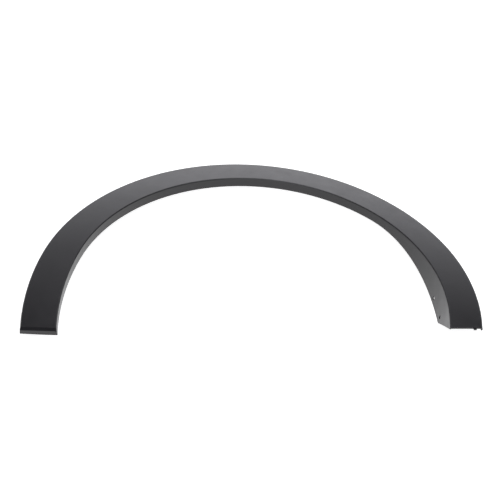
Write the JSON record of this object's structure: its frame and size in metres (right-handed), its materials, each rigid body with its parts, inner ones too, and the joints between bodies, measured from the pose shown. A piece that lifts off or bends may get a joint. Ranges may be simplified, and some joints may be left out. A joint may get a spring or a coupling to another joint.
{
  "type": "wheel arch trim",
  "caption": "Arched trim for a rear wheel opening: sloped face, thin rim, inner flange that deepens into a screw ear at the open end, and a closed long leg.",
  "frame": {"origin": "middle of the underside of the part's box, as it lies on its back", "axes": "+X across the wheel opening from the closed leg to the open leg, +Y to the top of the arch, +Z away from the car's side"},
  "size_m": [0.9596, 0.6404, 0.0605],
  "materials": {
    "black_plastic": "satin, finely grained"
  },
  "bodies": {
    "root": {"wheel_arch_trim": "black_plastic"}
  },
  "joints": []
}
